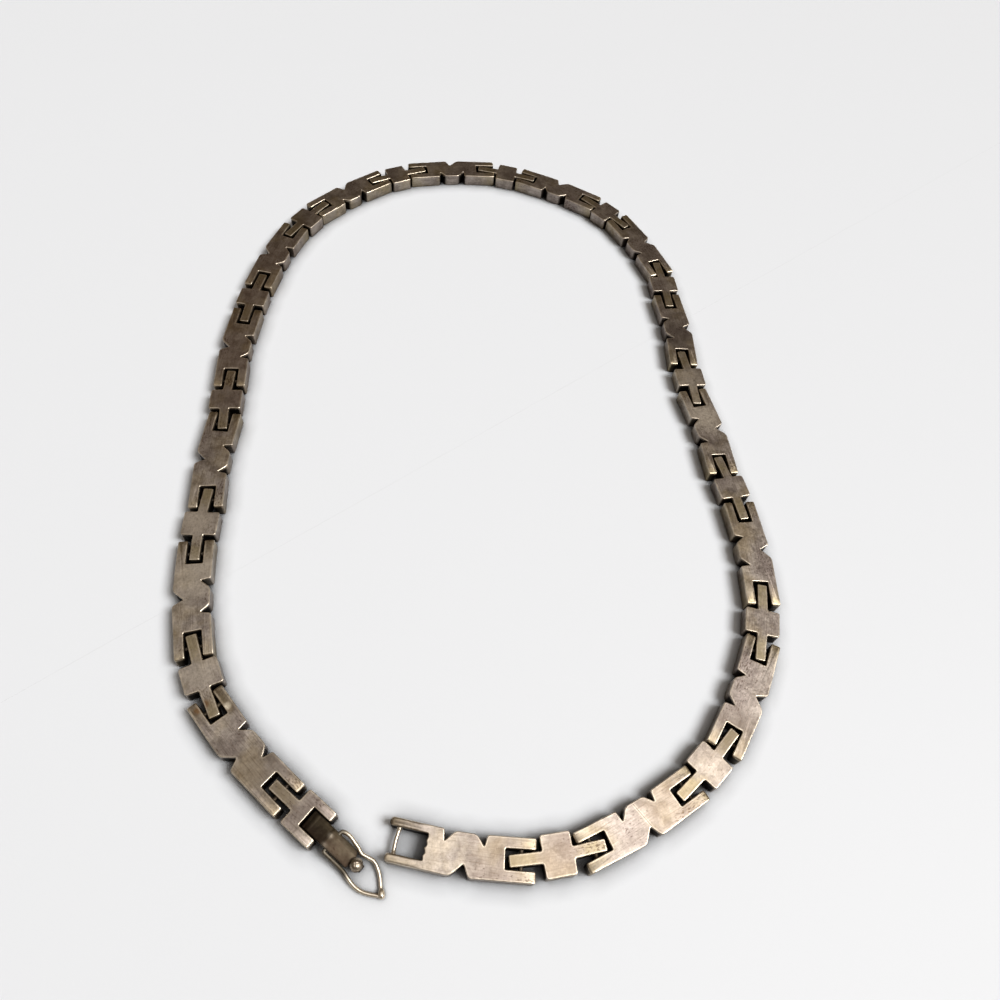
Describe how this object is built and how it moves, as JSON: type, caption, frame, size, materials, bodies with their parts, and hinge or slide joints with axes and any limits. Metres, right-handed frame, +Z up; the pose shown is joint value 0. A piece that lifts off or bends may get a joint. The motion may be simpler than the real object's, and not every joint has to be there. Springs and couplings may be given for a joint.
{
  "type": "flat link necklace",
  "caption": "Flat link necklace of hinged silver bars, lying in an open loop, with a hook clasp, a safety wire loop and a bar catch.",
  "frame": {"origin": "centre of the necklace's box, on the surface that it lies on", "axes": "+X to the right and +Y away from the clasp, across the laid loop; +Z up, through the loop"},
  "size_m": [0.1209, 0.1786, 0.0031],
  "materials": {
    "notched_silver": "tarnished silver, brushed along the chain",
    "cross_silver": "tarnished silver, brushed, with yellow patina on the tongues",
    "hook_silver": "darkly tarnished silver",
    "wire_silver": "worn silver wire"
  },
  "bodies": {
    "chain": {"notched_link_01": "notched_silver", "notched_link_02": "notched_silver", "notched_link_03": "notched_silver", "notched_link_04": "notched_silver", "notched_link_05": "notched_silver", "notched_link_06": "notched_silver", "notched_link_07": "notched_silver", "notched_link_08": "notched_silver", "notched_link_09": "notched_silver", "notched_link_10": "notched_silver", "notched_link_11": "notched_silver", "notched_link_12": "notched_silver", "notched_link_13": "notched_silver", "notched_link_14": "notched_silver", "notched_link_15": "notched_silver", "cross_link_01": "cross_silver", "cross_link_02": "cross_silver", "cross_link_03": "cross_silver", "cross_link_04": "cross_silver", "cross_link_05": "cross_silver", "cross_link_06": "cross_silver", "cross_link_07": "cross_silver", "cross_link_08": "cross_silver", "cross_link_09": "cross_silver", "cross_link_10": "cross_silver", "cross_link_11": "cross_silver", "cross_link_12": "cross_silver", "cross_link_13": "cross_silver", "cross_link_14": "cross_silver", "end_link": "cross_silver"},
    "hook": {"clasp_hook": "hook_silver"},
    "safety": {"safety_wire": "wire_silver"}
  },
  "joints": [
    {"name": "hook_swing", "type": "hinge", "parent": "chain", "child": "hook", "pos_m": [-0.01497, -0.0807, 0.0014], "axis": [-0.515, -0.8572, 0], "range_deg": [0, 90]},
    {"name": "wire_swing", "type": "hinge", "parent": "hook", "child": "safety", "pos_m": [-0.01167, -0.08268, 0.00225], "axis": [-0.515, -0.8572, 0], "range_deg": [0, 105]}
  ]
}
